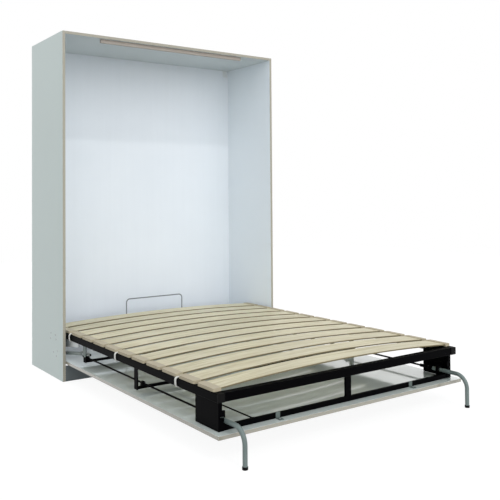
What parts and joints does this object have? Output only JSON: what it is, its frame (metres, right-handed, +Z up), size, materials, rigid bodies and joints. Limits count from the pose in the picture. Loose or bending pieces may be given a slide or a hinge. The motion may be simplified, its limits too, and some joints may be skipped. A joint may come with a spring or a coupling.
{
  "type": "murphy wall bed",
  "caption": "Vertical wall bed shown open: shallow white cabinet, slatted black steel frame carrying the door, gas springs and bent legs that fold as it swings up.",
  "frame": {"origin": "on the floor under the middle of the open bed's box, from the wall to the feet of the legs", "axes": "+X across the bed, +Y towards the wall behind the cabinet, +Z up"},
  "size_m": [1.654, 2.43, 2.2],
  "materials": {
    "white_board": "white melamine board with beige edge band",
    "slat_wood": "bent birch plywood, clear matt",
    "black_steel": "black powder coat",
    "black_plastic": "moulded black",
    "slat_cap": "moulded taupe",
    "leg_steel": "silver painted tube",
    "zinc_steel": "zinc plate",
    "spring_paint": "grey gloss paint",
    "white_webbing": "woven white webbing"
  },
  "bodies": {
    "cabinet": {"back_panel": "white_board", "pivot_bolts": "zinc_steel", "pivot_pins": "zinc_steel", "pivot_plate_left": "zinc_steel", "pivot_plate_right": "zinc_steel", "plinth_board": "white_board", "side_panel_left": "white_board", "side_panel_right": "white_board", "spring_studs": "zinc_steel", "top_batten": "white_board", "top_panel": "white_board", "wall_brackets": "zinc_steel"},
    "bed": {"brace_hangers": "black_steel", "corner_plate_left": "black_steel", "corner_plate_right": "black_steel", "door_brackets": "zinc_steel", "door_panel": "white_board", "door_screws": "zinc_steel", "foot_crossbar": "black_steel", "foot_post": "black_steel", "foot_rail": "black_steel", "head_brace": "black_steel", "head_rail": "black_steel", "leg_bushes": "black_plastic", "mattress_hoop": "zinc_steel", "mattress_straps": "white_webbing", "mid_brace": "black_steel", "pivot_arms": "zinc_steel", "rail_end_caps": "black_plastic", "shaft_bearings": "black_plastic", "side_rail_left": "black_steel", "side_rail_right": "black_steel", "slat_01": "slat_wood", "slat_02": "slat_wood", "slat_03": "slat_wood", "slat_04": "slat_wood", "slat_05": "slat_wood", "slat_06": "slat_wood", "slat_07": "slat_wood", "slat_08": "slat_wood", "slat_09": "slat_wood", "slat_10": "slat_wood", "slat_11": "slat_wood", "slat_12": "slat_wood", "slat_holders_left": "slat_cap", "slat_holders_right": "slat_cap", "spring_brackets": "zinc_steel", "stay_rod": "black_steel"},
    "leg_left": {"foot_cap_left": "black_plastic", "leg_coupling_left": "zinc_steel", "leg_shaft_left": "black_steel", "leg_tube_left": "leg_steel"},
    "leg_right": {"foot_cap_right": "black_plastic", "leg_coupling_right": "zinc_steel", "leg_shaft_right": "black_steel", "leg_tube_right": "leg_steel"},
    "gas_body_left": {"gas_spring_body_left": "spring_paint"},
    "gas_body_right": {"gas_spring_body_right": "spring_paint"},
    "gas_rod_left": {"gas_spring_rod_left": "zinc_steel"},
    "gas_rod_right": {"gas_spring_rod_right": "zinc_steel"}
  },
  "joints": [
    {"name": "bed_fold", "type": "hinge", "parent": "cabinet", "child": "bed", "pos_m": [0, 0.745, 0.218], "axis": [-1, 0, 0], "range_deg": [0, 90]},
    {"name": "leg_swing_left", "type": "hinge", "parent": "bed", "child": "leg_left", "pos_m": [-0.733, -1.061, 0.168], "axis": [0, -1, 0], "range_deg": [0, 90]},
    {"name": "leg_swing_right", "type": "hinge", "parent": "bed", "child": "leg_right", "pos_m": [0.733, -1.061, 0.168], "axis": [0, 1, 0], "range_deg": [0, 90]},
    {"name": "gas_turn_left", "type": "hinge", "parent": "cabinet", "child": "gas_body_left", "pos_m": [-0.766, 0.717, 0.16], "axis": [-1, 0, 0], "range_deg": [0, 84.5]},
    {"name": "gas_stroke_left", "type": "slide", "parent": "gas_body_left", "child": "gas_rod_left", "axis": [0, -0.9892, 0.1468], "range_m": [0, 0.083]},
    {"name": "gas_turn_right", "type": "hinge", "parent": "cabinet", "child": "gas_body_right", "pos_m": [0.766, 0.717, 0.16], "axis": [-1, 0, 0], "range_deg": [0, 84.5]},
    {"name": "gas_stroke_right", "type": "slide", "parent": "gas_body_right", "child": "gas_rod_right", "axis": [0, -0.9892, 0.1468], "range_m": [0, 0.083]}
  ],
  "couplings": [
    {"joint": "leg_swing_left", "follows": "bed_fold", "ratio": 1},
    {"joint": "leg_swing_right", "follows": "bed_fold", "ratio": 1},
    {"joint": "gas_turn_left", "follows": "bed_fold", "ratio": 0.93631},
    {"joint": "gas_stroke_left", "follows": "bed_fold", "m_per_rad": 0.052702},
    {"joint": "gas_turn_right", "follows": "bed_fold", "ratio": 0.93631},
    {"joint": "gas_stroke_right", "follows": "bed_fold", "m_per_rad": 0.052702}
  ]
}
